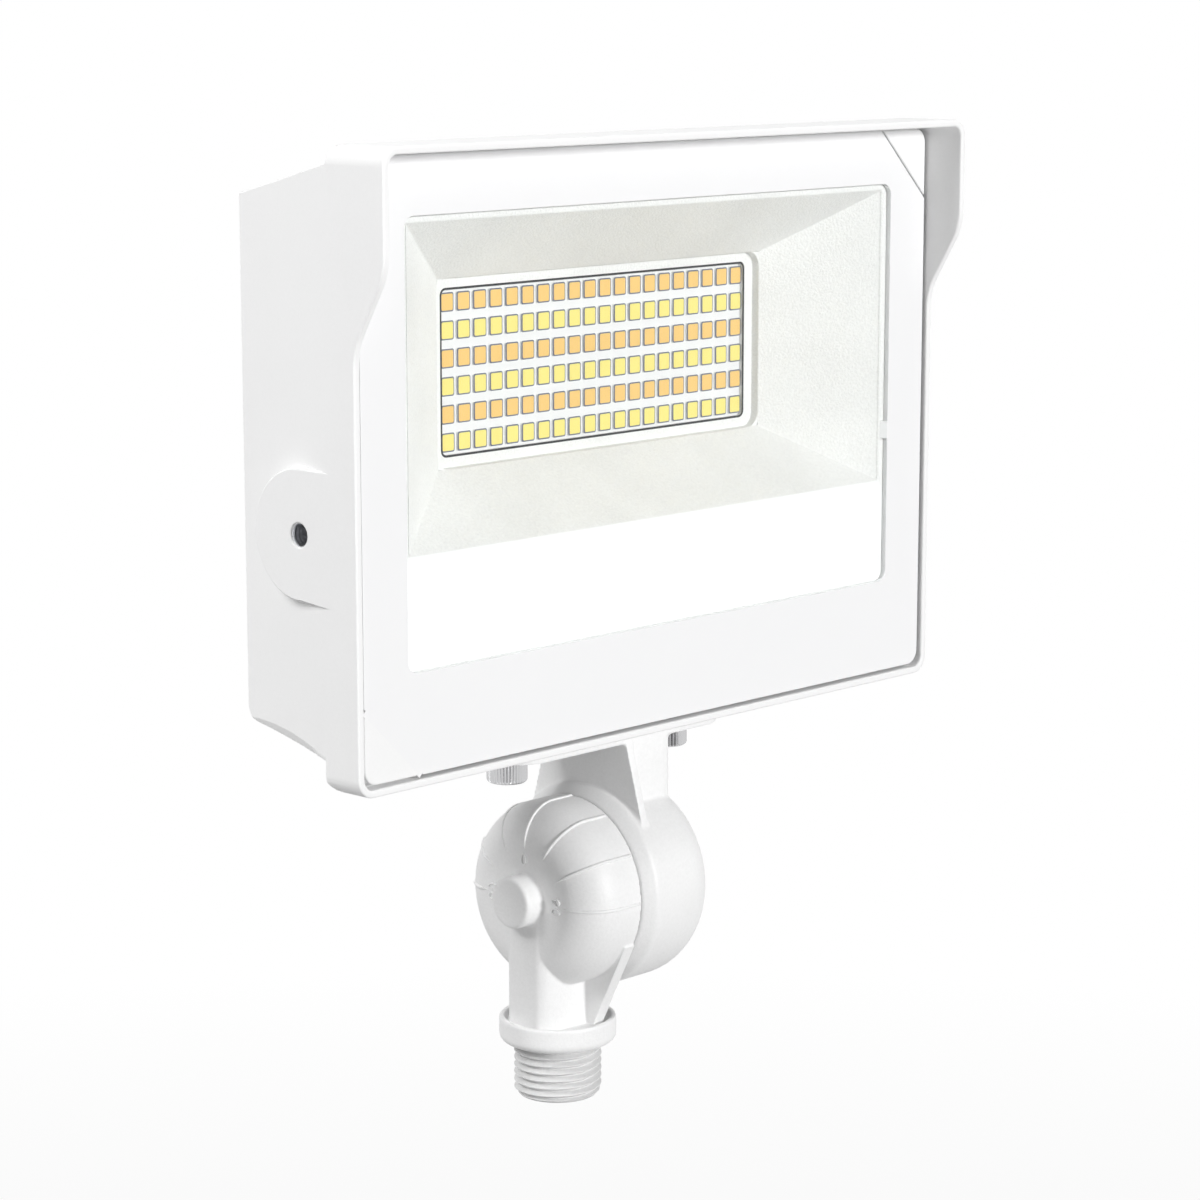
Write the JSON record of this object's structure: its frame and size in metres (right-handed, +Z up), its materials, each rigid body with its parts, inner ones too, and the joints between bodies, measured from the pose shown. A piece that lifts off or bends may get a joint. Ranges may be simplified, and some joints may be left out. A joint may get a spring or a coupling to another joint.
{
  "type": "floodlight",
  "caption": "Floodlight with a wide rectangular head, hooded front panel, led array in a reflector pan, and a clamped tilting knuckle on a threaded stem with a collar.",
  "frame": {"origin": "on the thread's axis, in the plane where the collar seats on the box or hub", "axes": "+Z up along the thread's axis towards the head, -Y out of the glass, +X to the right seen from the front"},
  "size_m": [0.192, 0.0595, 0.2288],
  "materials": {
    "white_casting": "white powder coat",
    "panel_white": "satin",
    "clear_pane": "clear",
    "seal_rubber": "matte",
    "reflector_white": "matte",
    "steel": "satin",
    "board_white": "matte",
    "led_orange": "gloss",
    "led_yellow": "gloss",
    "thermal_grey": "matte",
    "tray_metal": "satin",
    "board_green": "matte",
    "core_black": "matte",
    "sleeve_blue": "gloss",
    "copper": "satin"
  },
  "bodies": {
    "stem": {"lower_arm": "white_casting", "pivot_bolt": "steel"},
    "head": {"housing": "white_casting", "front_frame": "panel_white", "front_glass": "clear_pane", "panel_seal": "seal_rubber", "reflector": "reflector_white", "reflector_screws": "steel", "led_board": "board_white", "warm_leds": "led_orange", "cool_leds": "led_yellow", "thermal_pad": "thermal_grey", "board_screws": "steel", "driver_tray": "tray_metal", "driver_cover": "tray_metal", "driver_board": "board_green", "driver_transformer": "core_black", "driver_capacitors": "sleeve_blue", "driver_choke": "copper", "driver_screws": "steel", "wire_grommet": "seal_rubber", "pad_gasket": "seal_rubber", "upper_arm": "white_casting", "arm_screws": "steel", "knuckle_seal": "seal_rubber", "bolt_washer": "steel"}
  },
  "joints": [
    {"name": "knuckle_tilt", "type": "hinge", "parent": "stem", "child": "head", "pos_m": [0, 0, 0.0365], "axis": [1, 0, 0], "range_deg": [-90, 90]}
  ]
}
